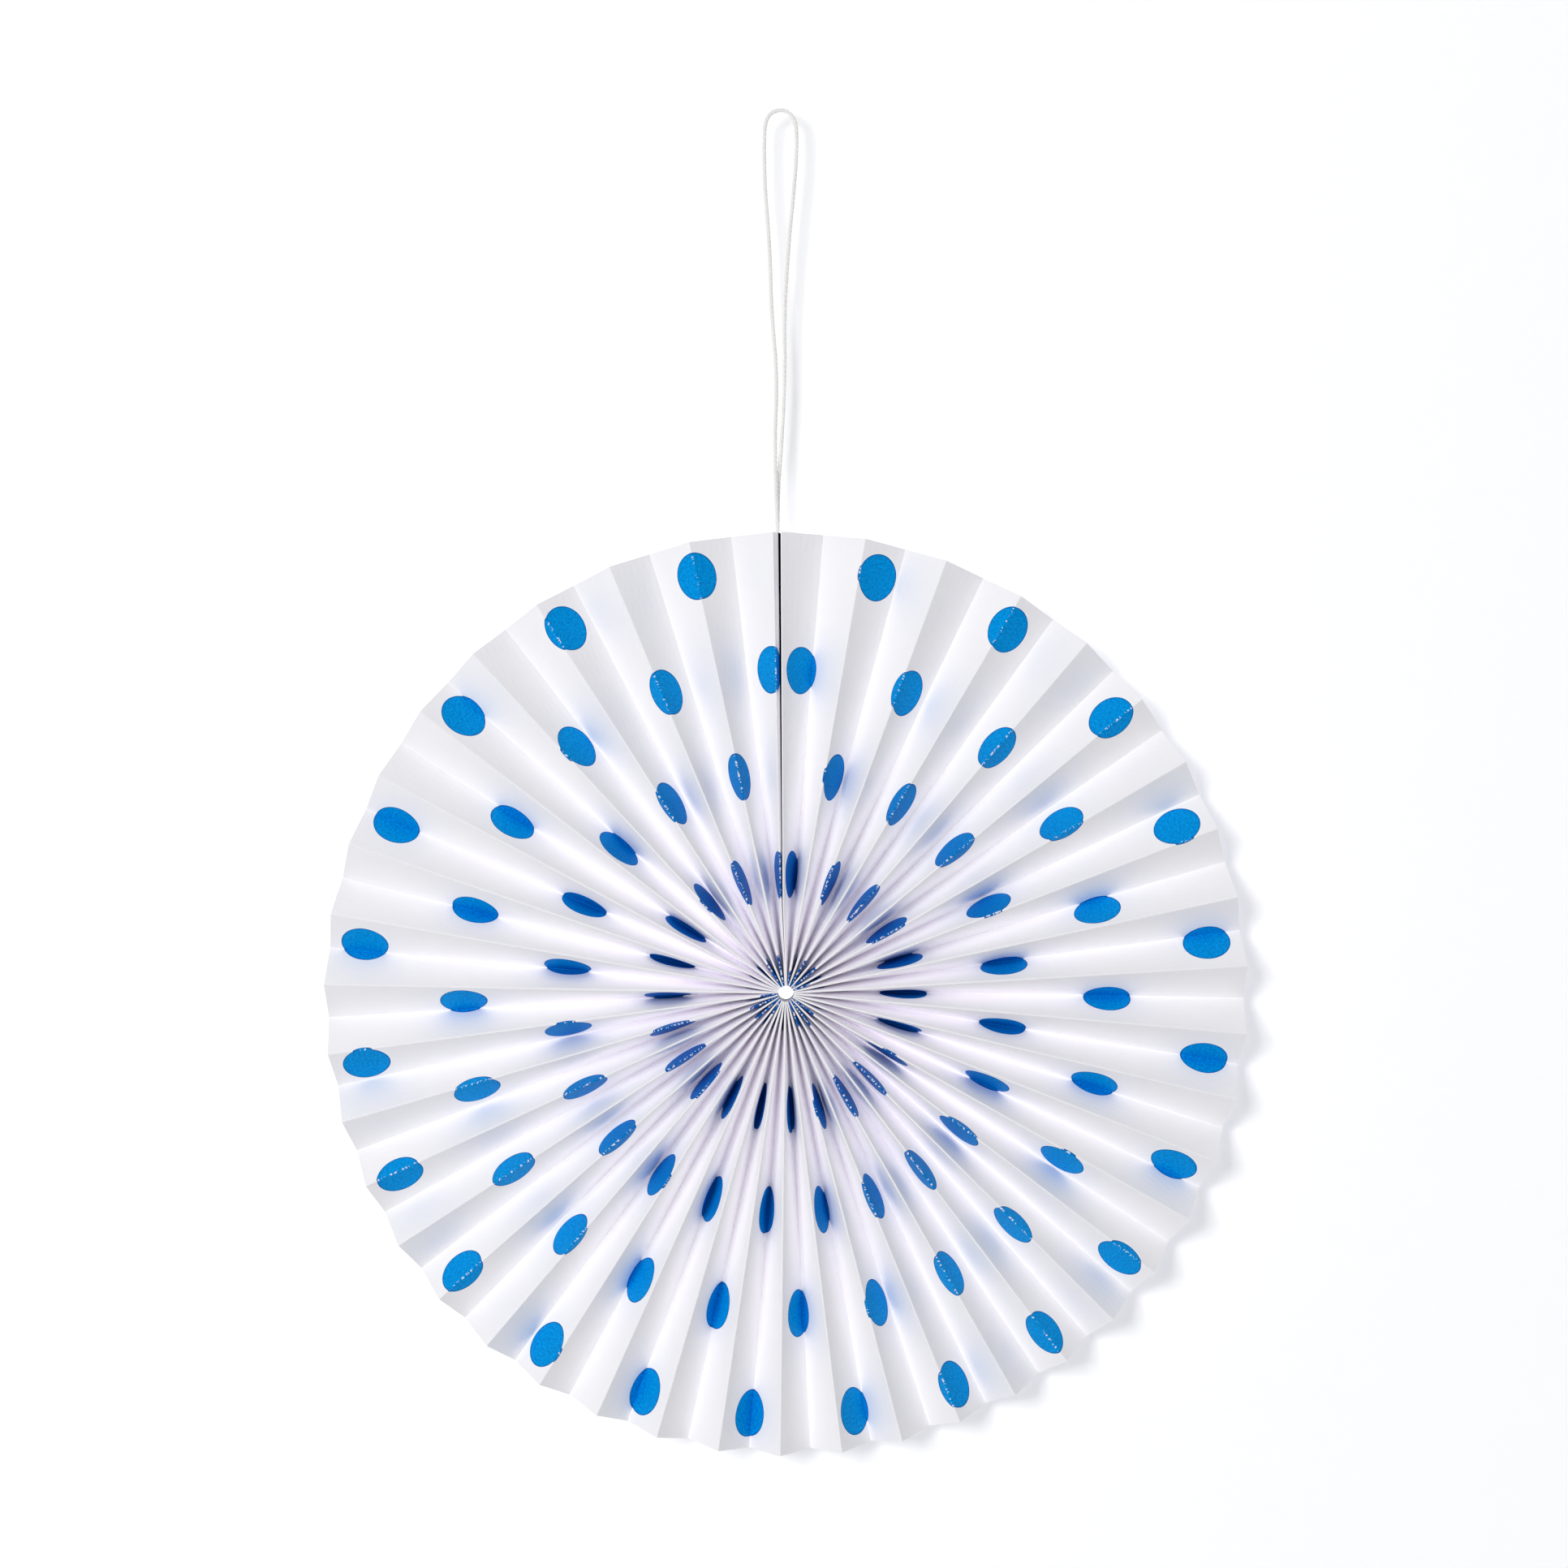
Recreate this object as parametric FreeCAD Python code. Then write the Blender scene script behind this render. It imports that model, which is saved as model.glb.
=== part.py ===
import FreeCAD, Part
import math
import os

# A hanging paper fan rosette: one strip of paper in knife-edge pleats, opened into a ring.
# Millimetres. The origin is the middle of the hub, +Z is up and the front faces -Y.
# The strip keeps its width at every radius, so the pleats are deep at the hub and shallow at the rim.

# The paper and its pleats
FAN_RADIUS = 150.0
PANEL_WIDTH = 15.6  # from one crease to the next, in the flat strip
PAPER = 0.17
PRESS_GAP = 0.02  # what stays between two panels that the hub presses together
FULLNESS = 1.36  # the strip's length for each length of rim that it covers
PLEATS = round(FULLNESS * math.pi * FAN_RADIUS / PANEL_WIDTH)
FOLD_NOSE = PAPER + PRESS_GAP  # the blunt edge of a crease, over the middle of the paper

# How the pleats spread round the rim: widest at the seam, closest at the foot
WIDEST_SHARE = 0.883  # of a panel's width, as the widest panel shows it at the rim
SECOND_SWELL = 0.037
THIRD_SWELL = 0.016
SIDE_LEAN = 0.0178
SECOND_LEAN = -0.0136

# The seam: both end flaps run back from their creases and are glued face to face.
# The left one leans over to the right one, so that the seam gapes at the front, most at the rim.
SEAM_LEAN = -0.3  # degrees from +Z, towards +X
SEAM_SHIFT = -0.9  # how far the seam misses the hub's middle, towards +X
SHIFT_START = 2.75  # the radius out from which it does so, and the one from which it does so in full
SHIFT_FULL = 30.0
SEAM_GLUE = 0.02
SEAM_GAPE = 2.3
GAPE_DEPTH = 6.0  # from the left crease back to where its flap meets the right one

# The thread that ties the pleats at the hub
THREAD = 0.5
THREAD_PLAY = 0.15
THREAD_RING = 5.5  # radius of its ring
THREAD_MARGIN = 3.5  # paper outside the ring, up to where the next facets start
HOLE_SIDES = 6
SETTLING_ROUNDS = 40  # for the hub's radius, which depends on itself

# The hanging cord
CORD = 1.4
BEND_SHARE = 0.45  # of the shorter run, which each arc takes

FACET_ROWS = 7  # rows of facets from the thread to the rim

# The cord's route from the seam, up the left strand, over the top and down the right strand
CORD_ROUTE = [
    (-2.52, 2.85, 137.0),
    (-2.95, 2.85, 158.0),
    (-3.78, 2.85, 179.7),
    (-2.77, 2.90, 200.8),
    (-4.78, 3.10, 222.5),
    (-5.29, 3.30, 243.6),
    (-6.90, 3.50, 262.8),
    (-7.15, 3.60, 275.9),
    (-6.90, 3.70, 285.2),
    (-3.88, 3.70, 288.5),
    (0.45, 3.70, 288.4),
    (3.32, 3.70, 285.0),
    (3.58, 3.80, 276.5),
    (2.77, 3.90, 263.9),
    (0.76, 4.10, 243.8),
    (-0.65, 4.30, 221.6),
    (-0.35, 4.50, 201.5),
    (-1.35, 4.55, 180.3),
    (-2.95, 4.55, 158.6),
    (-2.52, 4.55, 137.5),
]


def vec(x, y, z):
    return FreeCAD.Vector(x, y, z)


def outward(angle):
    """The direction from the hub's middle at an angle from +Z, clockwise as the front shows it."""
    return vec(math.sin(angle), 0, math.cos(angle))


def clockwise(angle):
    return vec(math.cos(angle), 0, -math.sin(angle))


SEAM_ANGLE = math.radians(SEAM_LEAN)
SEAM_OUT = outward(SEAM_ANGLE)
SEAM_SIDE = clockwise(SEAM_ANGLE)
BACKWARD = vec(0, 1, 0)
FLAP_OFFSET = (SEAM_GLUE + PAPER) / 2  # from the seam's plane to the middle of a flap's paper
CREASE_OFFSET = FLAP_OFFSET + FOLD_NOSE / 2
GAPE_START = THREAD_RING + THREAD_MARGIN


def gape(radius):
    """How far the left end crease stands off from the seam, more than the right one does."""
    return SEAM_GAPE * max(0.0, radius - GAPE_START) / (FAN_RADIUS - GAPE_START)


def end_asides(radius):
    """From the hub's middle across the seam, towards +X, to the first crease and to the last."""
    shifted = (radius - SHIFT_START) / (SHIFT_FULL - SHIFT_START)
    seam = SEAM_SHIFT * min(1.0, max(0.0, shifted))
    return seam + CREASE_OFFSET, seam - CREASE_OFFSET - gape(radius)


def end_angles(radius):
    """The angles of the first and the last crease, a full turn apart but for what lies in the seam."""
    first, last = end_asides(radius)
    return SEAM_ANGLE + math.asin(first / radius), SEAM_ANGLE + math.asin(last / radius) + 2 * math.pi


def packed_hub_radius():
    """The radius at which all the panels and flaps, pressed side by side, close the ring."""
    radius = THREAD_RING / 2
    for _ in range(SETTLING_ROUNDS):
        first, last = end_angles(radius)
        radius = 2 * PLEATS * FOLD_NOSE / (last - first)
    return radius


HUB_RADIUS = packed_hub_radius()


def facet_radii():
    """Where the facets of the paper meet, from the hub to the rim."""
    rows = [GAPE_START + (FAN_RADIUS - GAPE_START) * row / FACET_ROWS for row in range(FACET_ROWS + 1)]
    return [HUB_RADIUS] + rows


RADII = facet_radii()


def rim_share(share):
    """How far round the rim a crease lies, for its share of the strip's length."""
    turn = 2 * math.pi
    first_swell = WIDEST_SHARE * FULLNESS - 1 - SECOND_SWELL - THIRD_SWELL
    place = share
    for times, swell, lean in ((1, first_swell, SIDE_LEAN), (2, SECOND_SWELL, SECOND_LEAN), (3, THIRD_SWELL, 0)):
        wave = times * turn * share
        place += (swell * math.sin(wave) - lean * (1 - math.cos(wave))) / (times * turn)
    return place


def crease_line(number):
    """One crease in the plane of the ring, as a point at each facet radius. Even ones are ridges."""
    if number in (0, 2 * PLEATS):
        points = []
        for radius in RADII:
            aside = end_asides(radius)[0 if number == 0 else 1]
            points.append(SEAM_OUT * math.sqrt(radius**2 - aside**2) + SEAM_SIDE * aside)
        return points
    share = number / (2 * PLEATS)
    hub_first, hub_last = end_angles(HUB_RADIUS)
    rim_first, rim_last = end_angles(FAN_RADIUS)
    inner = outward(hub_first + (hub_last - hub_first) * share) * HUB_RADIUS
    outer = outward(rim_first + (rim_last - rim_first) * rim_share(share)) * FAN_RADIUS
    return [inner + (outer - inner) * ((r - HUB_RADIUS) / (FAN_RADIUS - HUB_RADIUS)) for r in RADII]


def half_depth(chord):
    """How far a crease stands before or behind the ring's middle plane, so that panels keep their width."""
    lean = chord - FOLD_NOSE
    return math.sqrt(PANEL_WIDTH**2 - lean**2) / 2


def strip_sections():
    """The middle of the paper as a line of points at each radius, and the outward direction at each stretch."""
    lines = [crease_line(number) for number in range(2 * PLEATS + 1)]
    sections, outs = [], []
    for row in range(len(RADII)):
        places = [line[row] for line in lines]
        chords = [(b - a).Length for a, b in zip(places, places[1:])]
        points, directions = [], []
        for number, place in enumerate(places):
            beside = chords[max(0, number - 1) : number + 1]
            depth = half_depth(sum(beside) / len(beside)) * (-1 if number % 2 == 0 else 1)
            angle = math.atan2(place.x, place.z)
            before = after = clockwise(angle) * (FOLD_NOSE / 2)
            if number == 0:
                before = SEAM_SIDE * (FOLD_NOSE / 2)
            if number == 2 * PLEATS:
                after = SEAM_SIDE * (FOLD_NOSE / 2)
            front = place + BACKWARD * depth
            points += [front - before, front + after]
            directions += [outward(angle)]
        lean = SEAM_SIDE * gape(RADII[row]) + BACKWARD * GAPE_DEPTH
        meeting = points[-1] + lean
        left_flap = [meeting, meeting + BACKWARD * (PANEL_WIDTH - lean.Length)]
        points = [points[0] + BACKWARD * PANEL_WIDTH] + points + left_flap
        stretches = [SEAM_OUT]
        for a, b in zip(directions, directions[1:]):
            stretches += [a, (a + b).normalize()]
        stretches += [directions[-1], SEAM_OUT, SEAM_OUT]
        sections.append(points)
        outs.append(stretches)
    return sections, outs


def both_sides(points, outs, thickness):
    """The two faces of a folded sheet, half its thickness to each side of its middle line."""
    normals = []
    for a, b, out in zip(points, points[1:], outs):
        normals.append(out.cross(b - a).normalize())
    left, right = [], []
    for i, point in enumerate(points):
        before, after = normals[max(0, i - 1)], normals[min(i, len(normals) - 1)]
        mitre = (before + after) * (thickness / 2 / (1 + before.dot(after)))
        left.append(point + mitre)
        right.append(point - mitre)
    return left, right


def facet(*corners):
    return Part.Face(Part.makePolygon(list(corners) + [corners[0]]))


def quad(a, b, c, d):
    """A warped four-sided patch as two flat facets."""
    return [facet(a, b, c), facet(a, c, d)]


def hole_ring(a, b, c, d, across, along, radius):
    """The corners of a round hole in a patch, a share across from a to b and along from a to d."""
    wide, long = (b - a).Length, (d - a).Length
    ring = []
    for step in range(HOLE_SIDES):
        turn = 2 * math.pi * step / HOLE_SIDES + math.pi / HOLE_SIDES
        s = across + radius * math.cos(turn) / wide
        t = along + radius * math.sin(turn) / long
        ring.append((a + (b - a) * s) * (1 - t) + (d + (c - d) * s) * t)
    return ring


def patch_round_hole(corners, ring):
    """Facets that fill a patch up to the hole in it."""
    a, b, c, d = corners
    half, faces = len(ring) // 2, []
    upper, lower = ring[: half], ring[half:]
    for near, row in ((c, upper), (a, lower)):
        for p, q in zip(row, row[1:]):
            faces.append(facet(near, p, q))
    faces += [facet(c, d, upper[-1]), facet(d, lower[0], upper[-1]), facet(d, a, lower[0])]
    faces += [facet(a, b, lower[-1]), facet(b, upper[0], lower[-1]), facet(b, c, upper[0])]
    return faces


def folded_sheet(sections, outs, thickness, holed):
    """A closed solid of a folded sheet. holed names the stretches with a thread hole in their first row."""
    sides = [both_sides(points, out, thickness) for points, out in zip(sections, outs)]
    faces, count = [], len(sections[0])
    for row in range(len(sections) - 1):
        for i in range(count - 1):
            rings = []
            for side in (0, 1):
                inner, outer = sides[row][side], sides[row + 1][side]
                corners = (inner[i], inner[i + 1], outer[i + 1], outer[i])
                if row == 0 and i in holed:
                    place = thread_place(corners)
                    rings.append(hole_ring(*corners, *place, THREAD / 2 + THREAD_PLAY))
                    faces += patch_round_hole(corners, rings[-1])
                else:
                    faces += quad(*corners)
            if rings:
                (left, right), turns = rings, range(HOLE_SIDES)
                for k in turns:
                    n = (k + 1) % HOLE_SIDES
                    faces += quad(left[k], left[n], right[n], right[k])
        for i in (0, count - 1):
            a, b = sides[row], sides[row + 1]
            faces += quad(a[0][i], a[1][i], b[1][i], b[0][i])
    for left, right in (sides[0], sides[-1]):
        for i in range(count - 1):
            faces += quad(left[i], left[i + 1], right[i + 1], right[i])
    solid = Part.Solid(Part.Shell(faces))
    if solid.Volume < 0:
        solid.reverse()
    return solid


def thread_place(corners):
    """Where the thread's ring passes through a patch, as shares across and along it."""
    a, b, c, d = corners
    across = -a.y / (b.y - a.y)
    near, far = a + (b - a) * across, d + (c - d) * across
    along = (THREAD_RING - near.Length) / (far.Length - near.Length)
    return across, along


def pleated_paper():
    sections, outs = strip_sections()
    panels = [0] + [2 + 2 * number for number in range(2 * PLEATS)] + [4 * PLEATS + 3]
    return folded_sheet(sections, outs, PAPER, panels)


def hub_thread():
    return Part.makeTorus(THREAD_RING, THREAD / 2, vec(0, 0, 0), BACKWARD)


def rounded_path(points):
    """Straight runs joined by tangent arcs, each as large as its two runs allow."""
    edges, start, radii = [], points[0], []
    for before, corner, after in zip(points, points[1:], points[2:]):
        back, ahead = before - corner, after - corner
        reach = BEND_SHARE * min(back.Length, ahead.Length)
        turn = math.pi - back.getAngle(ahead)
        radius = reach / math.tan(turn / 2)
        radii.append(radius)
        back.normalize()
        ahead.normalize()
        enter, leave = corner + back * reach, corner + ahead * reach
        inward = (back + ahead).normalize()
        middle = corner + inward * (radius / math.cos(turn / 2) - radius)
        edges += [Part.LineSegment(start, enter).toShape(), Part.Arc(enter, middle, leave).toShape()]
        start = leave
    edges.append(Part.LineSegment(start, points[-1]).toShape())
    return Part.Wire(edges), radii


def hanging_cord():
    points = [vec(*place) for place in CORD_ROUTE]
    path, radii = rounded_path(points)
    circle = Part.makeCircle(CORD / 2, points[0], points[1] - points[0])
    tube = path.makePipeShell([Part.Wire(circle)], True, True)
    section = math.pi * CORD**2 / 4
    print("cord length", round(path.Length, 1), "tube volume over section times length",
          round(tube.Volume / (section * path.Length), 4))
    print("cord arc radii", [round(r, 1) for r in radii], "smallest over diameter", round(min(radii) / CORD, 2))
    return tube


def main():
    os.makedirs("parts", exist_ok=True)
    pieces = {
        "pleated_paper": pleated_paper(),
        "hub_thread": hub_thread(),
        "hanging_cord": hanging_cord(),
    }
    print("pleats", PLEATS, "hub radius", round(HUB_RADIUS, 2))
    for name, shape in pieces.items():
        box = shape.BoundBox
        print(name, "valid", shape.isValid(), "volume", round(shape.Volume, 1), "faces", len(shape.Faces),
              "x", round(box.XMin, 1), round(box.XMax, 1), "y", round(box.YMin, 1), round(box.YMax, 1),
              "z", round(box.ZMin, 1), round(box.ZMax, 1))
        shape.exportStep("parts/" + name + ".step")


main()
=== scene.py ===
# %% [markdown]
# # A paper fan rosette
# One strip of white paper with printed blue dots is folded into knife pleats and opened into a ring.
# The ring is glued shut at a seam at the top, and a loop of cotton string comes out of the last fold.
# The solids come from CAD. This script dresses them: it builds the paper again with soft folds,
# twists the string out of its strands, and gives each piece the finish of what it is made of.

# %% Load the fixed frame
import math

import bpy
import numpy as np
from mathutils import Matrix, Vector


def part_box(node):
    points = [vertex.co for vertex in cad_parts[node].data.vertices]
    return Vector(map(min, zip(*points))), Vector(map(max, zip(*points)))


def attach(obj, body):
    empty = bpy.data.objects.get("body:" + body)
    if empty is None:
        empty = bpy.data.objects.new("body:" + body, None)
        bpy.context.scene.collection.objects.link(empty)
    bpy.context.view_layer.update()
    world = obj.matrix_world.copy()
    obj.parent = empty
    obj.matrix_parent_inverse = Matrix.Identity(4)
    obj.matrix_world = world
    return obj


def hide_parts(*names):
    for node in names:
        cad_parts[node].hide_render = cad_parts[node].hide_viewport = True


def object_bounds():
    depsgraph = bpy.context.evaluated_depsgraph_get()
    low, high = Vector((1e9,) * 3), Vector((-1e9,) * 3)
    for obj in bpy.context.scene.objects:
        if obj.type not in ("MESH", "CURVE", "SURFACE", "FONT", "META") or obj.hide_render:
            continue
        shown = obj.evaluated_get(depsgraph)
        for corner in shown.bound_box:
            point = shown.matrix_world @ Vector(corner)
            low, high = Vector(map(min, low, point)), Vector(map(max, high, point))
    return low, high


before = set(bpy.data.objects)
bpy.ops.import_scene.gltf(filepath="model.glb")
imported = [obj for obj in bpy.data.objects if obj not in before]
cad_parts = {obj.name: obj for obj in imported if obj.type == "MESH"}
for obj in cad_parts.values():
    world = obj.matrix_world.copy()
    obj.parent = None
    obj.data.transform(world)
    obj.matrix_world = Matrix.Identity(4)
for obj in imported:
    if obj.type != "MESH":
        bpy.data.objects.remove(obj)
cad_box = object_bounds()
MM = 0.001
print("CAD nodes:", sorted(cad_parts))

# %% [markdown]
# ## The camera
# The rosette hangs level and is seen straight on. The camera stands a little above the hub,
# because the picture's middle lies between the ring and the top of its loop.
# Its lens follows from how far away it stands and how wide a field the picture covers.

# %% Place the camera
CAMERA_DISTANCE = 1120 * MM
FIELD_WIDTH = 511.4 * MM
SENSOR = 36.0

camera_data = bpy.data.cameras.new("camera")
camera_data.sensor_width = SENSOR
camera_data.lens = SENSOR * CAMERA_DISTANCE / FIELD_WIDTH
camera = bpy.data.objects.new("camera", camera_data)
camera.location = (-0.6 * MM, -CAMERA_DISTANCE, 68.0 * MM)
camera.rotation_euler = (math.radians(90), 0, 0)
bpy.context.scene.collection.objects.link(camera)
bpy.context.scene.camera = camera
print("lens", round(camera_data.lens, 1), "mm")

# %% [markdown]
# ## Colours and nodes
# Colours are written as the hex values that a picture shows. Blender counts light linearly,
# so each one is turned to linear once, here. A second helper adds a shader node, sets it and
# links it in one call, which keeps each material as short as a recipe.

# %% Helpers for materials
def linear(hex_colour):
    """An sRGB hex value as a linear colour with full alpha."""
    shares = [int(hex_colour[i : i + 2], 16) / 255 for i in (1, 3, 5)]
    return (*[s / 12.92 if s <= 0.04045 else ((s + 0.055) / 1.055) ** 2.4 for s in shares], 1.0)


def add(tree, kind, settings=None, **inputs):
    """Adds one node. Inputs are named in lower case with _ for a space, or i0, i1 by their place."""
    node = tree.nodes.new("ShaderNode" + kind)
    for name, value in (settings or {}).items():
        setattr(node, name, value)
    for name, value in inputs.items():
        if name[0] == "i" and name[1:].isdigit():
            socket = node.inputs[int(name[1:])]
        else:
            socket = next(s for s in node.inputs if s.name.lower().replace(" ", "_") == name)
        if isinstance(value, bpy.types.NodeSocket):
            tree.links.new(value, socket)
        else:
            socket.default_value = value
    return node


def new_material(name):
    """An empty material with its output node."""
    material = bpy.data.materials.new(name)
    material.use_nodes = True
    tree = material.node_tree
    tree.nodes.clear()
    return material, tree, tree.nodes.new("ShaderNodeOutputMaterial")


def new_piece(name, points, faces, materials):
    """A mesh piece at the origin, from points in metres."""
    mesh = bpy.data.meshes.new(name)
    mesh.from_pydata(points, [], faces)
    for material in materials:
        mesh.materials.append(material)
    piece = bpy.data.objects.new(name, mesh)
    bpy.context.scene.collection.objects.link(piece)
    return piece


# %% [markdown]
# ## The backdrop and the light
# A hung thing is photographed close before a white board. The board has to look white and still
# keep the soft shadow, so the camera alone sees it lifted: a second share of light and a little
# glow, stronger behind the hub's hole. This is arranged for the picture, as no real board does
# it. It is clear to shadow rays, so the lamp behind can reach the pleats, and clear from behind,
# so that the back can be looked at too. The main light is a soft box to the upper left, and the
# sky fills in the shaded sides of the pleats.

# %% Make the board, the floor and the lamps
BOARD_GAP = 2.0 * MM
BOARD_GLOW = 0.05
HOLE_GLOW, HOLE_GLOW_REACH = 0.9, 4.0 * MM
FLOOR_DROP = 260 * MM
HALF_WIDTH, FLOOR_DEPTH = 1.6, 1.4  # metres
BOUNCES = 28

board_y = cad_box[1][1] + BOARD_GAP


def board_material(name, colour, lift, glow_strength):
    material, tree, out = new_material(name)
    path = add(tree, "LightPath")
    side = add(tree, "NewGeometry")
    seen = add(tree, "Math", {"operation": "SUBTRACT"}, i0=1.0, i1=path.outputs["Is Shadow Ray"])
    front = add(tree, "Math", {"operation": "SUBTRACT"}, i0=1.0, i1=side.outputs["Backfacing"])
    shown = add(tree, "Math", {"operation": "MULTIPLY", "use_clamp": True}, i0=seen.outputs[0], i1=front.outputs[0])
    board = add(tree, "BsdfDiffuse", color=linear(colour))
    # The bit of board behind the hub's hole lies too deep for the lamps, so it glows more there
    spot = add(tree, "VectorMath", {"operation": "MULTIPLY"}, i0=side.outputs["Position"], i1=(1.0, 0.0, 1.0))
    away = add(tree, "VectorMath", {"operation": "LENGTH"}, i0=spot.outputs[0])
    reach = {"from_min": HOLE_GLOW_REACH, "from_max": 2 * HOLE_GLOW_REACH}
    strength = add(tree, "MapRange", value=away.outputs["Value"], to_min=HOLE_GLOW, to_max=glow_strength, **reach)
    glow = add(tree, "Emission", color=linear("#FFFFFF"), strength=strength.outputs[0])
    lifted = add(tree, "AddShader", i0=board.outputs[0], i1=add(tree, "BsdfDiffuse", color=linear(lift)).outputs[0])
    lit = add(tree, "AddShader", i0=lifted.outputs[0], i1=glow.outputs[0])
    chosen = add(tree, "MixShader", i0=path.outputs["Is Camera Ray"], i1=board.outputs[0], i2=lit.outputs[0])
    clear = add(tree, "BsdfTransparent")
    mix = add(tree, "MixShader", i0=shown.outputs[0], i1=clear.outputs[0], i2=chosen.outputs[0])
    tree.links.new(mix.outputs[0], out.inputs["Surface"])
    return material


def flat_piece(name, near, far, material):
    """A level or upright rectangle across the view, from two (y, z) edges."""
    corners = [(-HALF_WIDTH, *near), (HALF_WIDTH, *near), (HALF_WIDTH, *far), (-HALF_WIDTH, *far)]
    return new_piece(name, corners, [(0, 1, 2, 3)], [material])


white_board = board_material("matt_white_board", "#F8F8F8", "#808080", BOARD_GLOW)
pale_floor = board_material("pale_grey_floor", "#D4D4D4", "#707070", 0.0)
board = flat_piece("board", (board_y, -FLOOR_DROP), (board_y, HALF_WIDTH), white_board)
floor = flat_piece("floor", (board_y - FLOOR_DEPTH, -FLOOR_DROP), (board_y, -FLOOR_DROP), pale_floor)


def soft_box(name, place, aim, side, watts):
    """A square area lamp that looks at a point."""
    data = bpy.data.lights.new(name, "AREA")
    data.shape, data.size, data.energy = "SQUARE", side, watts
    lamp = bpy.data.objects.new(name, data)
    lamp.location = place
    direction = np.array(aim) - np.array(place)
    yaw, flat = math.atan2(-direction[0], direction[1]), math.hypot(direction[0], direction[1])
    lamp.rotation_euler = (math.radians(90) + math.atan2(direction[2], flat), 0, yaw)
    bpy.context.scene.collection.objects.link(lamp)
    return lamp


soft_box("main_soft_box", (-1.08, -2.35, 0.58), (0, 0, 0), 0.85, 28.5)
soft_box("low_soft_box", (-0.4, -1.2, -1.3), (0, 0, 0), 1.4, 1.0)
soft_box("back_soft_box", (0.9, 1.6, 0.9), (0, 0, 0), 1.4, 12)

world = bpy.data.worlds.new("studio")
bpy.context.scene.world = world
world.use_nodes = True
world.node_tree.nodes.clear()
sky = world.node_tree
path = add(sky, "LightPath")
white = add(sky, "Background", color=linear("#FFFFFF"), strength=1.0)
fill = add(sky, "Background", color=linear("#F7F8FC"), strength=0.5)
mix = add(sky, "MixShader", i0=path.outputs["Is Camera Ray"], i1=fill.outputs[0], i2=white.outputs[0])
sky_out = sky.nodes.new("ShaderNodeOutputWorld")
sky.links.new(mix.outputs[0], sky_out.inputs["Surface"])

# Light goes from panel to panel many times before it leaves a deep white fold
bpy.context.scene.cycles.max_bounces = BOUNCES
bpy.context.scene.cycles.diffuse_bounces = BOUNCES

view = bpy.context.scene.view_settings
view.view_transform = "Standard"
print("board at y", round(board_y / MM, 1), "mm")

# %% [markdown]
# ## The string
# The loop is one length of cotton string, about 1.4 mm thick, twisted to the left from three
# strands. Its line is a smooth curve through the points that CAD uses. Each strand is a tube
# that winds round that line, so the twist catches the light as real string does.

# %% The string's line
CORD = 1.4 * MM
CORD_ROUTE = [
    (-2.52, 2.85, 137.0),
    (-2.95, 2.85, 158.0),
    (-3.78, 2.85, 179.7),
    (-2.77, 2.90, 200.8),
    (-4.78, 3.10, 222.5),
    (-5.29, 3.30, 243.6),
    (-6.90, 3.50, 262.8),
    (-7.15, 3.60, 275.9),
    (-6.90, 3.70, 285.2),
    (-3.88, 3.70, 288.5),
    (0.45, 3.70, 288.4),
    (3.32, 3.70, 285.0),
    (3.58, 3.80, 276.5),
    (2.77, 3.90, 263.9),
    (0.76, 4.10, 243.8),
    (-0.65, 4.30, 221.6),
    (-0.35, 4.50, 201.5),
    (-1.35, 4.55, 180.3),
    (-2.95, 4.55, 158.6),
    (-2.52, 4.55, 137.5),
]


def smooth_line(points, steps):
    """The points of a NURBS line drawn smoothly through a route."""
    curve = bpy.data.curves.new("string_route", "CURVE")
    curve.dimensions = "3D"
    curve.resolution_u = steps
    spline = curve.splines.new("NURBS")
    spline.points.add(len(points) - 1)
    for target, place in zip(spline.points, points):
        target.co = (*[c * MM for c in place], 1)
    spline.order_u = 3
    spline.use_endpoint_u = True
    holder = bpy.data.objects.new("string_route", curve)
    bpy.context.scene.collection.objects.link(holder)
    mesh = bpy.data.meshes.new_from_object(holder)
    line = np.array([v.co[:] for v in mesh.vertices])
    bpy.data.objects.remove(holder)
    bpy.data.meshes.remove(mesh)
    return line


def evenly(line, spacing):
    """The same line with its points an even distance apart."""
    along = np.concatenate([[0], np.cumsum(np.linalg.norm(np.diff(line, axis=0), axis=1))])
    count = int(round(along[-1] / spacing)) + 1
    wanted = np.linspace(0, along[-1], count)
    return np.stack([np.interp(wanted, along, line[:, i]) for i in range(3)], 1), wanted


string_line, string_along = evenly(smooth_line(CORD_ROUTE, 24), 0.25 * MM)
print("string length", round(string_along[-1] / MM, 1), "mm in", len(string_line), "points")

# %% [markdown]
# Three strands of half the string's width, laid side by side in a ring, leave grooves as deep
# as the real ones. One full turn takes about 4.6 mm, so a groove shows every 1.5 mm.

# %% Twist the strands
STRANDS = 3
STRAND_SHARE = 0.268  # a strand's radius for the string's whole width
TURN_LENGTH = 4.6 * MM
STRAND_SIDES = 8


def line_frames(line):
    """Two directions across a line at each of its points, that don't turn round it."""
    tangents = np.gradient(line, axis=0)
    tangents /= np.linalg.norm(tangents, axis=1)[:, None]
    across = np.array([0.0, 1.0, 0.0])
    first = []
    for tangent in tangents:
        across = across - tangent * (across @ tangent)
        across /= np.linalg.norm(across)
        first.append(across)
    first = np.array(first)
    return first, np.cross(tangents, first)


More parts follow.
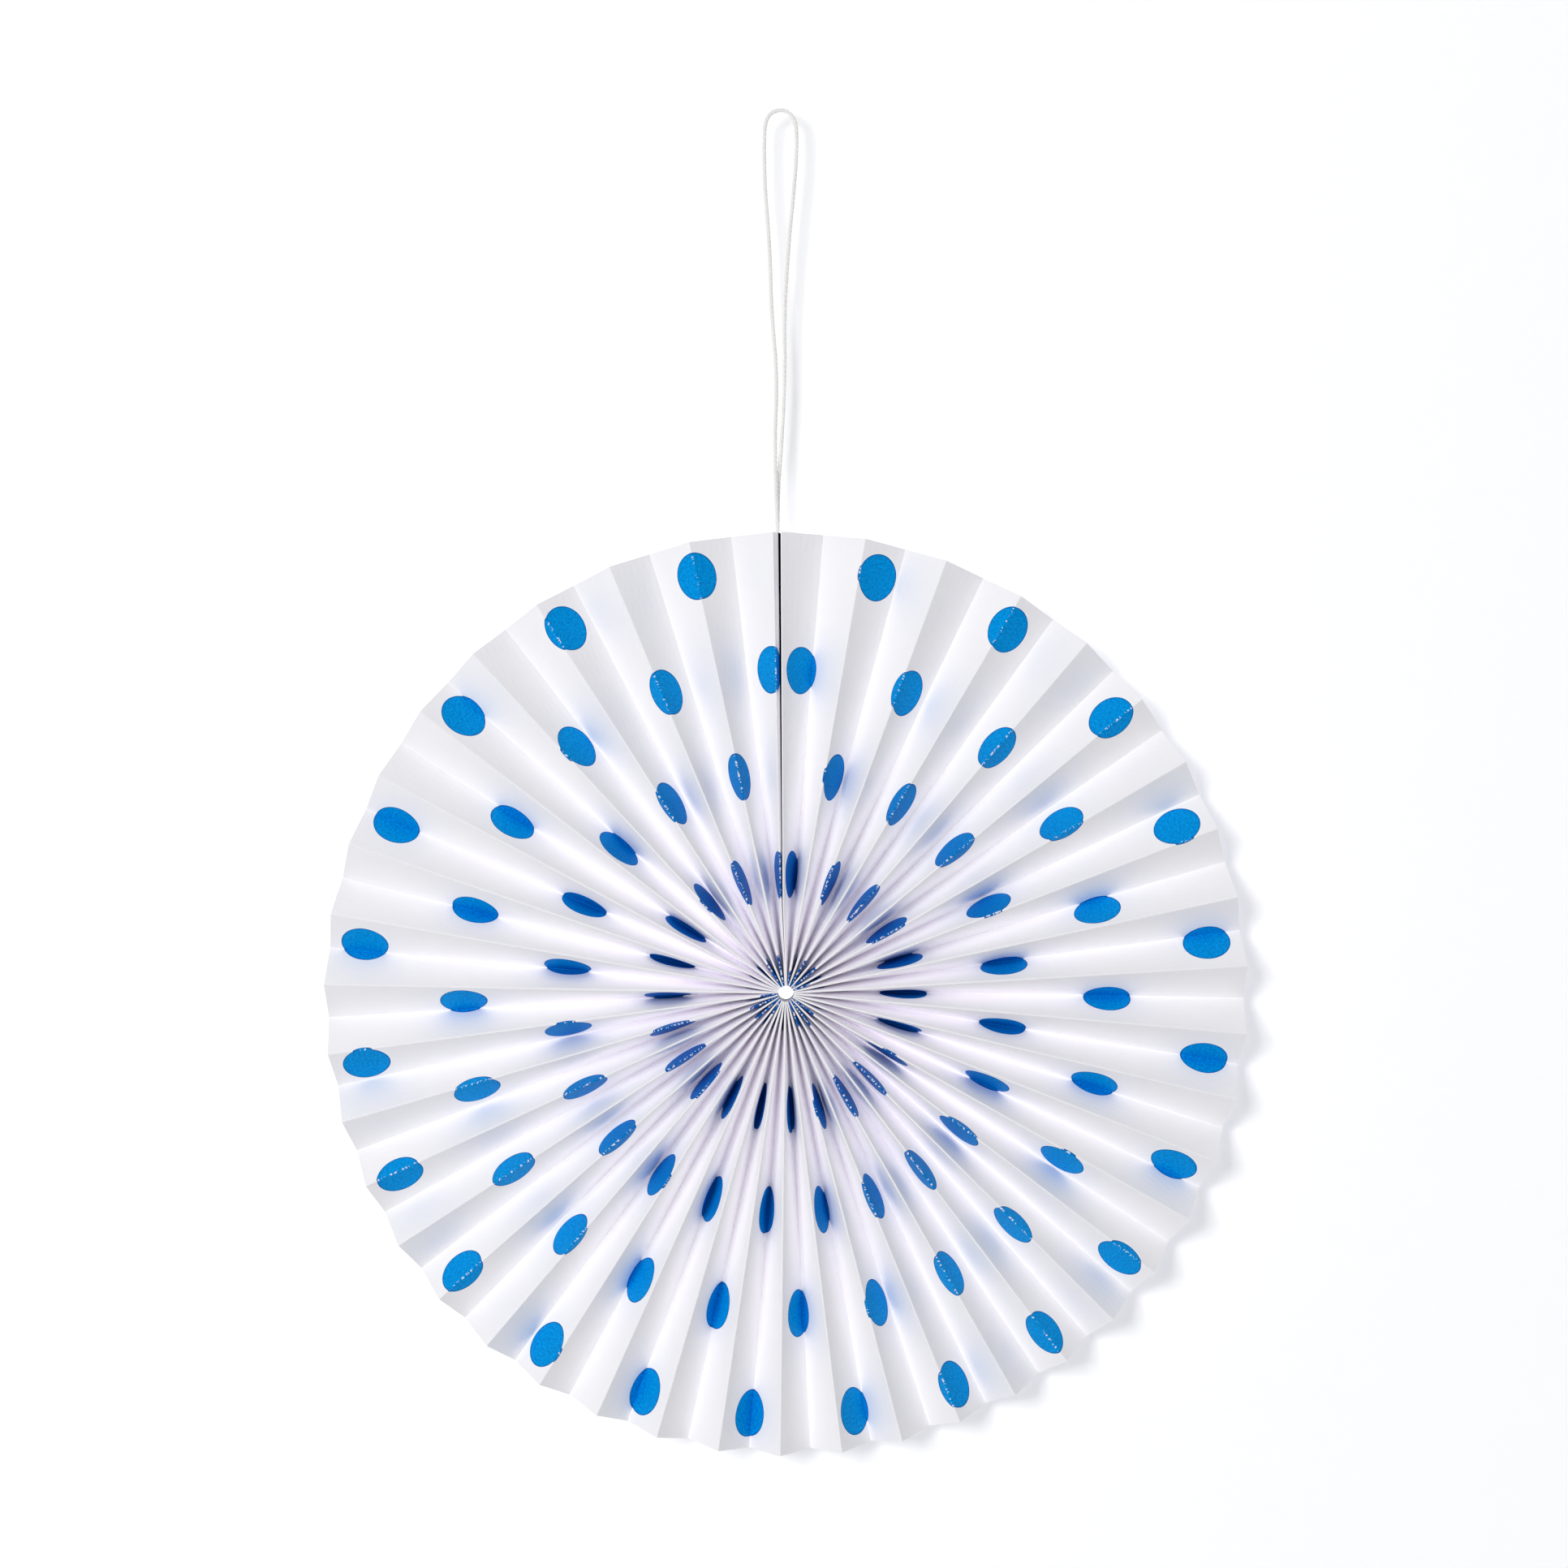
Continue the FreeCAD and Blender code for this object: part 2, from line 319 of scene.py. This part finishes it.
def twisted_tubes(line, along, width, strands, turn_length, sides, share, closed=False):
    """Points and faces of strands that wind to the left round a line."""
    u, v = line_frames(line)
    ring = width / 2 - share * width
    points, faces = [], []
    for strand in range(strands):
        wind = -2 * math.pi * (along / turn_length + strand / strands)
        out = u * np.cos(wind)[:, None] + v * np.sin(wind)[:, None]
        centre = line + out * ring
        a, b = line_frames(centre)
        first = len(points)
        for i in range(len(line)):
            for k in range(sides):
                turn = 2 * math.pi * k / sides
                spoke = a[i] * math.cos(turn) + b[i] * math.sin(turn)
                points.append(tuple(centre[i] + spoke * share * width))
        rows = len(line)
        for i in range(rows if closed else rows - 1):
            n = (i + 1) % rows
            for k in range(sides):
                m = (k + 1) % sides
                here, there = first + i * sides, first + n * sides
                faces.append((here + k, here + m, there + m, there + k))
        if not closed:
            faces.append(tuple(first + k for k in reversed(range(sides))))
            faces.append(tuple(first + (rows - 1) * sides + k for k in range(sides)))
    return points, faces


# %% [markdown]
# The string is bleached cotton: matt, a little warm, with fine hairs and fibres along each
# strand. Its fibres are too fine to draw one by one, so a stretched noise stands for a few
# together, and a soft sheen gives its fuzzy edge.

# %% The cotton's finish
FIBRE = 0.12 * MM


def cotton(name, colour, shade):
    material, tree, out = new_material(name)
    place = add(tree, "TexCoord")
    stretch = add(tree, "Mapping", vector=place.outputs["Object"], scale=(1.0, 1.0, 0.25))
    fibres = add(tree, "TexNoise", vector=stretch.outputs[0], scale=1 / (FIBRE * 4), detail=4.0)
    cloudy = add(tree, "TexNoise", vector=place.outputs["Object"], scale=1 / (6 * MM), detail=2.0)
    blend = add(tree, "Mix", {"data_type": "RGBA"}, i0=fibres.outputs["Fac"], i6=linear(shade), i7=linear(colour))
    tone = add(tree, "MapRange", value=cloudy.outputs["Fac"], to_min=0.93, to_max=1.04)
    toned = add(tree, "HueSaturation", value=tone.outputs[0], color=blend.outputs[2])
    bump = add(tree, "Bump", strength=0.5, distance=FIBRE, height=fibres.outputs["Fac"])
    skin = add(tree, "BsdfPrincipled", base_color=toned.outputs[0], roughness=0.85, normal=bump.outputs[0], ior=1.5)
    skin.inputs["Sheen Weight"].default_value = 0.3
    skin.inputs["Sheen Roughness"].default_value = 0.5
    tree.links.new(skin.outputs[0], out.inputs["Surface"])
    return material


string_cotton = cotton("bleached_twisted_cotton_string", "#FFFFFC", "#F7F4EF")

points, faces = twisted_tubes(string_line, string_along, CORD, STRANDS, TURN_LENGTH, STRAND_SIDES, STRAND_SHARE)
string = new_piece("cotton_string", points, faces, [string_cotton])
for polygon in string.data.polygons:
    polygon.use_smooth = True
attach(string, "root")
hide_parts("hanging_cord")
print("string faces", len(faces))

# %% [markdown]
# ## The paper
# The folded strip is drawn as a grid: one way it runs along the strip, from fold to fold, and
# the other way from the hub to the rim. Each fold is a straight line from the hub to the rim.
# The panels keep their width at every radius, so where the folds stand close together, at the
# hub, the pleats are deep, and at the rim they are shallow. The sizes are those of the CAD source.

# %% The strip's sizes
FAN_RADIUS = 150.0
PANEL_WIDTH = 15.6
PAPER = 0.17
PRESS_GAP = 0.02
FULLNESS = 1.36
PLEATS = round(FULLNESS * math.pi * FAN_RADIUS / PANEL_WIDTH)
PANELS = 2 * PLEATS
FOLD_NOSE = PAPER + PRESS_GAP
WIDEST_SHARE, SECOND_SWELL, THIRD_SWELL = 0.883, 0.037, 0.016
SIDE_LEAN, SECOND_LEAN = 0.0178, -0.0136
SEAM_ANGLE = math.radians(-0.3)
SEAM_SHIFT, SHIFT_START, SHIFT_FULL = -0.9, 2.75, 30.0
SEAM_GLUE = 0.02
SEAM_GAPE, GAPE_DEPTH, GAPE_START = 2.3, 6.0, 9.0
FLAP_OFFSET = (SEAM_GLUE + PAPER) / 2
CREASE_OFFSET = FLAP_OFFSET + FOLD_NOSE / 2


def gape(radius):
    """How far the left end fold stands off from the seam, more than the right one does."""
    return SEAM_GAPE * np.maximum(0.0, radius - GAPE_START) / (FAN_RADIUS - GAPE_START)


def end_asides(radius):
    """From the hub's middle across the seam to the first fold and to the last."""
    seam = SEAM_SHIFT * min(1.0, max(0.0, (radius - SHIFT_START) / (SHIFT_FULL - SHIFT_START)))
    return seam + CREASE_OFFSET, seam - CREASE_OFFSET - gape(radius)


def end_angles(radius):
    first, last = end_asides(radius)
    return SEAM_ANGLE + math.asin(first / radius), SEAM_ANGLE + math.asin(last / radius) + 2 * math.pi


def packed_hub_radius(rounds=40):
    radius = 3.0
    for _ in range(rounds):
        first, last = end_angles(radius)
        radius = PANELS * FOLD_NOSE / (last - first)
    return radius


HUB_RADIUS = packed_hub_radius()
print("pleats", PLEATS, "hub radius", round(HUB_RADIUS, 2), "mm")

# %% [markdown]
# ## Where each fold lies
# The pleats aren't spread evenly: they are widest beside the seam and closest at the foot.
# A few waves over one turn, added to an even spread, say how far round the rim each fold lies.

# %% Lay out the folds
def rim_share(share):
    first_swell = WIDEST_SHARE * FULLNESS - 1 - SECOND_SWELL - THIRD_SWELL
    place = share
    for times, swell, lean in ((1, first_swell, SIDE_LEAN), (2, SECOND_SWELL, SECOND_LEAN), (3, THIRD_SWELL, 0)):
        wave = times * 2 * math.pi * share
        place += (swell * math.sin(wave) - lean * (1 - math.cos(wave))) / (times * 2 * math.pi)
    return place


def outward(angle):
    return np.array([math.sin(angle), 0.0, math.cos(angle)])


def clockwise(angle):
    return np.array([math.cos(angle), 0.0, -math.sin(angle)])


SEAM_OUT, SEAM_SIDE = outward(SEAM_ANGLE), clockwise(SEAM_ANGLE)
BACKWARD = np.array([0.0, 1.0, 0.0])


def fold_place(number, radius):
    """Where a fold crosses a radius, in the ring's middle plane."""
    if number in (0, PANELS):
        aside = end_asides(radius)[0 if number == 0 else 1]
        return SEAM_OUT * math.sqrt(radius**2 - aside**2) + SEAM_SIDE * aside
    share = number / PANELS
    hub_first, hub_last = end_angles(HUB_RADIUS)
    rim_first, rim_last = end_angles(FAN_RADIUS)
    inner = outward(hub_first + (hub_last - hub_first) * share) * HUB_RADIUS
    outer = outward(rim_first + (rim_last - rim_first) * rim_share(share)) * FAN_RADIUS
    return inner + (outer - inner) * (radius - HUB_RADIUS) / (FAN_RADIUS - HUB_RADIUS)


# %% [markdown]
# ## The folded section
# At each radius the strip is a zigzag. A fold isn't sharp: its nose is as wide as the two
# layers that it joins, and it is rounded. The panels bow a little, because paper that is held
# at its folds never lies quite flat. Each point also keeps its place in the flat strip, so
# that the print can be laid out there, before the folding, as a printer does.

# %% Draw the section at one radius
PANEL_STEPS = 6
NOSE_STEPS = 4
WIDEST_NOSE = 0.45
NOSE_GROWTH = 0.055  # millimetres for each millimetre out from the hub
BOW = 0.10  # millimetres, at the middle of a panel
NOSE_BULGE = 0.32  # of a nose's width
FLAP_STEPS = 3


def section(radius, sway):
    """The middle line of the paper, its place along the flat strip and its outward direction."""
    nose = min(WIDEST_NOSE, FOLD_NOSE + NOSE_GROWTH * (radius - HUB_RADIUS))
    places = [fold_place(number, radius) for number in range(PANELS + 1)]
    chords = [np.linalg.norm(b - a) for a, b in zip(places, places[1:])]
    corners, angles = [], []
    for number, place in enumerate(places):
        beside = chords[max(0, number - 1) : number + 1]
        lean = sum(beside) / len(beside) - nose
        depth = math.sqrt(PANEL_WIDTH**2 - lean**2) / 2
        angle = math.atan2(place[0], place[2])
        before = after = clockwise(angle) * (nose / 2)
        if number == 0:
            before = SEAM_SIDE * (FOLD_NOSE / 2)
        if number == PANELS:
            after = SEAM_SIDE * (FOLD_NOSE / 2)
        front = place + BACKWARD * depth * (-1 if number % 2 == 0 else 1)
        corners.append((front - before, front + after))
        angles.append(angle)
    points, flat, outs = [], [], []

    def put(point, place_along, out):
        points.append(point)
        flat.append(place_along)
        outs.append(out)

    first = corners[0][0]
    for step in range(PANEL_STEPS, 0, -1):
        share = step / PANEL_STEPS
        put(first + BACKWARD * PANEL_WIDTH * share, -PANEL_WIDTH * share, SEAM_OUT)
    for number in range(PANELS + 1):
        left, right = corners[number]
        side = -1 if number % 2 == 0 else 1
        for step in range(NOSE_STEPS + 1):
            share = step / NOSE_STEPS
            bulge = BACKWARD * side * math.sin(math.pi * share) * nose * NOSE_BULGE
            along = number * PANEL_WIDTH + (share - 0.5) * nose
            put(left + (right - left) * share + bulge, along, outward(angles[number]))
        if number < PANELS:
            start, end = right, corners[number + 1][0]
            across = np.cross(outward(angles[number]), end - start)
            across /= np.linalg.norm(across)
            for step in range(1, PANEL_STEPS):
                share = step / PANEL_STEPS
                bow = across * (BOW * sway[number] * math.sin(math.pi * share))
                put(start + (end - start) * share + bow, (number + share) * PANEL_WIDTH, outward(angles[number]))
    last = corners[PANELS][1]
    lean = SEAM_SIDE * gape(radius) + BACKWARD * GAPE_DEPTH
    reach = np.linalg.norm(lean)
    strip_end = PANELS * PANEL_WIDTH
    for step in range(1, FLAP_STEPS + 1):
        put(last + lean * step / FLAP_STEPS, strip_end + reach * step / FLAP_STEPS, SEAM_OUT)
    rest = PANEL_WIDTH - reach
    for step in range(1, FLAP_STEPS + 1):
        along = strip_end + reach + rest * step / FLAP_STEPS
        put(last + lean + BACKWARD * rest * step / FLAP_STEPS, along, SEAM_OUT)
    return np.array(points), np.array(flat), np.array(outs)


# %% [markdown]
# ## From sections to a sheet
# The sections are joined row by row, once for the printed front and once for the plain back,
# half the paper's thickness to each side. The cut edges at the rim, at the hub and at the two
# ends close the sheet.

# %% Build the folded sheet
ROWS_AT_HUB, ROWS = 5, 22
rng = np.random.default_rng(41)
panel_sway = rng.uniform(-1, 1, PANELS)


def both_sides(points, outs):
    """The printed and the plain face of the sheet at one radius."""
    steps = np.diff(points, axis=0)
    normals = np.cross(outs[:-1], steps)
    normals /= np.linalg.norm(normals, axis=1)[:, None]
    before, after = np.vstack([normals[:1], normals]), np.vstack([normals, normals[-1:]])
    total = before + after
    mitre = total * (PAPER / 2 / (1 + (before * after).sum(1)))[:, None]
    return points - mitre, points + mitre


inner_rows = np.linspace(HUB_RADIUS, GAPE_START, ROWS_AT_HUB)
radii = np.concatenate([inner_rows, np.linspace(GAPE_START, FAN_RADIUS, ROWS + 1)[1:]])
grids, flats = [], []
for radius in radii:
    wave = 0.35 + 0.65 * math.sin(math.pi * (radius - HUB_RADIUS) / (FAN_RADIUS - HUB_RADIUS))
    points, flat, outs = section(float(radius), panel_sway * wave)
    grids.append(both_sides(points, outs))
    flats.append(flat)
columns = len(flats[0])
sheet_points = np.concatenate([np.array([g[side] for g in grids]).reshape(-1, 3) for side in (0, 1)]) * MM
print("sheet grid", len(radii), "rows by", columns, "columns")

# %% Join the faces
def sheet_faces(rows, columns):
    """Quads of the two faces and the cut edges, with 0 for printed, 1 for plain and 2 for an edge."""
    size = rows * columns
    faces, kinds = [], []
    for r in range(rows - 1):
        for c in range(columns - 1):
            a, d = r * columns + c, (r + 1) * columns + c
            b, e = a + 1, d + 1
            faces += [(a, b, e, d), (size + a, size + d, size + e, size + b)]
            kinds += [0, 1]
    for r in (0, rows - 1):
        for c in range(columns - 1):
            a, b = r * columns + c, r * columns + c + 1
            faces.append((a, size + a, size + b, b) if r == 0 else (a, b, size + b, size + a))
            kinds.append(2)
    for c in (0, columns - 1):
        for r in range(rows - 1):
            a, d = r * columns + c, (r + 1) * columns + c
            faces.append((a, d, size + d, size + a) if c == 0 else (a, size + a, size + d, d))
            kinds.append(2)
    return faces, kinds


faces, kinds = sheet_faces(len(radii), columns)
print("sheet faces", len(faces), "so", 2 * len(faces), "triangles")

# %% [markdown]
# ## The paper's finish
# It is a smooth coated paper of about 150 g a square metre. The coating gives a faint gloss
# and a cool white, from the brightener in it. The dots are printed in one solid blue ink, with
# the fine mottle of toner. Where the ink runs over a front fold it has cracked, and broken
# specks of white show. The back is bare paper, a little rougher.

# %% The dots' layout in the flat strip
DOT_WIDTH = 15.4
DOT_PITCH = 3.692 * PANEL_WIDTH
ROW_SPACING = 33.35
FIRST_ROW = 11.4  # from the rim
FIRST_DOT = 2.472 * PANEL_WIDTH  # from the right end fold


def dot_distance(tree, flat):
    """How far a place in the flat strip is from the middle of the nearest dot, in millimetres."""
    split = add(tree, "SeparateXYZ", vector=flat)
    along, from_rim = split.outputs[0], split.outputs[1]
    past_first = add(tree, "Math", {"operation": "SUBTRACT"}, i0=from_rim, i1=FIRST_ROW)
    rows = add(tree, "Math", {"operation": "DIVIDE"}, i0=past_first.outputs[0], i1=ROW_SPACING)
    row = add(tree, "Math", {"operation": "ROUND"}, i0=rows.outputs[0])
    beyond = add(tree, "Math", {"operation": "SUBTRACT"}, i0=rows.outputs[0], i1=row.outputs[0])
    down = add(tree, "Math", {"operation": "MULTIPLY"}, i0=beyond.outputs[0], i1=ROW_SPACING)
    shift = add(tree, "Math", {"operation": "MULTIPLY_ADD"}, i0=row.outputs[0], i1=DOT_PITCH / 2, i2=-FIRST_DOT)
    place = add(tree, "Math", {"operation": "ADD"}, i0=along, i1=shift.outputs[0])
    turns = add(tree, "Math", {"operation": "DIVIDE"}, i0=place.outputs[0], i1=DOT_PITCH)
    nearest = add(tree, "Math", {"operation": "ROUND"}, i0=turns.outputs[0])
    off = add(tree, "Math", {"operation": "SUBTRACT"}, i0=turns.outputs[0], i1=nearest.outputs[0])
    aside = add(tree, "Math", {"operation": "MULTIPLY"}, i0=off.outputs[0], i1=DOT_PITCH)
    reach = add(tree, "CombineXYZ", x=aside.outputs[0], y=down.outputs[0])
    return add(tree, "VectorMath", {"operation": "LENGTH"}, i0=reach.outputs[0]).outputs["Value"]


# %% The printed front
PAPER_WHITE, PAPER_SHADE = "#FFFEFF", "#FDFCFF"
INK_BLUE, INK_DEEP, INK_EDGE = "#00A4F2", "#0083D2", "#0066B4"
# The next colour is painted shade: the deeper blue the dots are given towards the hub
INK_HUB_SHADE, INNER_START, INNER_FULL = "#0059B4", 42.0, 122.0
MOTTLE = 0.8
CRACK_WIDTH = 0.28
CRACK_WANDER = 0.2
CRACK_STRENGTH = 0.8
# Painted shade: a near black for the deep gap between the end flaps, and how far behind the last fold it starts
SEAM_GAP_SHADE, SEAM_SHADE_START = "#1E1412", 3.9


def printed_paper():
    material, tree, out = new_material("coated_paper_with_printed_dots")
    flat = add(tree, "Attribute", {"attribute_name": "flat_place"}).outputs["Vector"]
    away = dot_distance(tree, flat)
    mottle = add(tree, "TexNoise", vector=flat, scale=1 / MOTTLE, detail=3.0)
    patches = add(tree, "TexNoise", vector=flat, scale=1 / 6.0, detail=2.0)
    specks = add(tree, "MapRange", value=mottle.outputs["Fac"], from_min=0.35, from_max=0.65)
    solid = add(tree, "Mix", {"data_type": "RGBA"}, i0=specks.outputs[0], i6=linear(INK_DEEP), i7=linear(INK_BLUE))
    edge = add(tree, "MapRange", value=away, from_min=DOT_WIDTH / 2 - 0.5, from_max=DOT_WIDTH / 2 - 0.1)
    ink = add(tree, "Mix", {"data_type": "RGBA"}, i0=edge.outputs[0], i6=solid.outputs[2], i7=linear(INK_EDGE))
    # Painted shade: the ink is mixed towards a deeper blue from the rim to the hub, standing in for the shade deep in
    # the folds there
    split = add(tree, "SeparateXYZ", vector=flat)
    inward = add(tree, "MapRange", value=split.outputs[1], from_min=INNER_START, from_max=INNER_FULL)
    ink = add(tree, "Mix", {"data_type": "RGBA"}, i0=inward.outputs[0], i6=ink.outputs[2], i7=linear(INK_HUB_SHADE))
    sheet = add(tree, "Mix", {"data_type": "RGBA"}, i0=patches.outputs["Fac"], i6=linear(PAPER_SHADE), i7=linear(PAPER_WHITE))
    ragged = add(tree, "Math", {"operation": "MULTIPLY_ADD"}, i0=mottle.outputs["Fac"], i1=0.04, i2=away)
    rim = {"from_min": DOT_WIDTH / 2 + 0.02, "from_max": DOT_WIDTH / 2 + 0.12}
    in_dot = add(tree, "MapRange", value=ragged.outputs[0], to_min=1.0, to_max=0.0, **rim)
    # The cracks: a thin band on each front fold, broken up by a noise drawn out along the fold
    pair = add(tree, "Math", {"operation": "DIVIDE"}, i0=split.outputs[0], i1=2 * PANEL_WIDTH)
    whole = add(tree, "Math", {"operation": "ROUND"}, i0=pair.outputs[0])
    part = add(tree, "Math", {"operation": "SUBTRACT"}, i0=pair.outputs[0], i1=whole.outputs[0])
    wander = add(tree, "TexNoise", vector=flat, scale=1 / 2.5, detail=2.0)
    aside = add(tree, "Math", {"operation": "MULTIPLY_ADD"}, i0=part.outputs[0], i1=2 * PANEL_WIDTH, i2=-CRACK_WANDER / 2)
    moved = add(tree, "Math", {"operation": "MULTIPLY_ADD"}, i0=wander.outputs["Fac"], i1=CRACK_WANDER, i2=aside.outputs[0])
    near = add(tree, "Math", {"operation": "ABSOLUTE"}, i0=moved.outputs[0])
    band = add(tree, "Math", {"operation": "LESS_THAN"}, i0=near.outputs[0], i1=CRACK_WIDTH / 2)
    drawn = add(tree, "Mapping", vector=flat, scale=(2.2, 1.1, 1.0))
    flakes = add(tree, "TexNoise", vector=drawn.outputs[0], scale=1.0, detail=3.0, roughness=0.6)
    needed = add(tree, "MapRange", value=inward.outputs[0], to_min=0.57, to_max=0.55)
    broken = add(tree, "Math", {"operation": "GREATER_THAN"}, i0=flakes.outputs["Fac"], i1=needed.outputs[0])
    crack = add(tree, "Math", {"operation": "MULTIPLY"}, i0=band.outputs[0], i1=broken.outputs[0])
    bare = add(tree, "Math", {"operation": "MULTIPLY"}, i0=crack.outputs[0], i1=CRACK_STRENGTH)
    whole_ink = add(tree, "Math", {"operation": "SUBTRACT", "use_clamp": True}, i0=in_dot.outputs[0], i1=bare.outputs[0])
    printed = add(tree, "Mix", {"data_type": "RGBA"}, i0=whole_ink.outputs[0], i6=sheet.outputs[2], i7=ink.outputs[2])
    # Painted shade: the end flaps are painted near black from a little behind the last fold, standing in for the shade
    # deep in the seam's gap
    right_flap = add(tree, "Math", {"operation": "LESS_THAN"}, i0=split.outputs[0], i1=-SEAM_SHADE_START)
    left_start = PANELS * PANEL_WIDTH + SEAM_SHADE_START
    left_flap = add(tree, "Math", {"operation": "GREATER_THAN"}, i0=split.outputs[0], i1=left_start)
    shaded_flaps = add(tree, "Math", {"operation": "ADD"}, i0=right_flap.outputs[0], i1=left_flap.outputs[0])
    colour = add(tree, "Mix", {"data_type": "RGBA"}, i0=shaded_flaps.outputs[0], i6=printed.outputs[2], i7=linear(SEAM_GAP_SHADE))
    grain = add(tree, "TexNoise", vector=flat, scale=1 / 0.5, detail=4.0)
    raised = add(tree, "Math", {"operation": "MULTIPLY_ADD"}, i0=whole_ink.outputs[0], i1=0.6, i2=grain.outputs["Fac"])
    bump = add(tree, "Bump", strength=0.12, distance=0.05 * MM, height=raised.outputs[0])
    gloss = add(tree, "MapRange", value=whole_ink.outputs[0], to_min=0.52, to_max=0.4)
    skin = add(tree, "BsdfPrincipled", base_color=colour.outputs[2], normal=bump.outputs[0], ior=1.45)
    tree.links.new(gloss.outputs[0], skin.inputs["Roughness"])
    skin.inputs["Specular IOR Level"].default_value = 0.03
    tree.links.new(skin.outputs[0], out.inputs["Surface"])
    return material


# %% The plain back and the cut edge
def plain_paper(name, colour, shade, grain_size, strength):
    material, tree, out = new_material(name)
    flat = add(tree, "Attribute", {"attribute_name": "flat_place"}).outputs["Vector"]
    cloud = add(tree, "TexNoise", vector=flat, scale=1 / 3.0, detail=3.0)
    grain = add(tree, "TexNoise", vector=flat, scale=1 / grain_size, detail=4.0)
    tone = add(tree, "Mix", {"data_type": "RGBA"}, i0=cloud.outputs["Fac"], i6=linear(shade), i7=linear(colour))
    bump = add(tree, "Bump", strength=strength, distance=0.05 * MM, height=grain.outputs["Fac"])
    skin = add(tree, "BsdfPrincipled", base_color=tone.outputs[2], roughness=0.72, normal=bump.outputs[0], ior=1.45)
    skin.inputs["Specular IOR Level"].default_value = 0.1
    tree.links.new(skin.outputs[0], out.inputs["Surface"])
    return material


finishes = [
    printed_paper(),
    plain_paper("uncoated_back_of_the_paper", "#FBFBFD", "#F6F6FA", 0.6, 0.3),
    plain_paper("cut_edge_of_the_paper", "#F4F4F4", "#E8E8E8", 0.2, 0.5),
]
paper = new_piece("folded_paper", [tuple(p) for p in sheet_points], faces, finishes)
for polygon, kind in zip(paper.data.polygons, kinds):
    polygon.material_index = kind
from_rim = np.repeat(FAN_RADIUS - radii, columns)
flat_place = np.stack([np.concatenate([flats[0]] * len(radii)), from_rim, np.zeros(len(from_rim))], 1)
flat_place = np.vstack([flat_place, flat_place + [0, 0, 5.0]])
attribute = paper.data.attributes.new("flat_place", "FLOAT_VECTOR", "POINT")
attribute.data.foreach_set("vector", flat_place.astype(np.float32).ravel())
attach(paper, "root")
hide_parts("pleated_paper")
low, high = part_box("pleated_paper")
print("paper box", [round(c / MM, 1) for c in (*paper.bound_box[0], *paper.bound_box[6])])
print("its CAD box", [round(c / MM, 1) for c in (*low, *high)])

# %% [markdown]
# ## The hub thread
# A thread runs through a small hole in every panel and draws the inner ends together. It hardly
# shows, but it is twisted as sewing thread is, from two plies.

# %% Twist the thread
THREAD = 0.5 * MM
THREAD_RING = 5.5 * MM
PLIES, PLY_SIDES, PLY_SHARE = 2, 6, 0.25
TWISTS, RING_STEPS = 24, 720

turns = np.linspace(0, 2 * math.pi, RING_STEPS, endpoint=False)
ring_line = np.stack([np.sin(turns) * THREAD_RING, np.zeros_like(turns), np.cos(turns) * THREAD_RING], 1)
ring_along = turns * THREAD_RING
ply_turn = 2 * math.pi * THREAD_RING / TWISTS
points, faces = twisted_tubes(ring_line, ring_along, THREAD, PLIES, ply_turn, PLY_SIDES, PLY_SHARE, closed=True)
thread_cotton = cotton("white_sewing_thread", "#F4F3F0", "#E2E0DA")
thread = new_piece("twisted_thread", points, faces, [thread_cotton])
for polygon in thread.data.polygons:
    polygon.use_smooth = True
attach(thread, "root")
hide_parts("hub_thread")
print("thread faces", len(faces))

print("CAD box", [round(c / MM, 1) for corner in cad_box for c in corner])
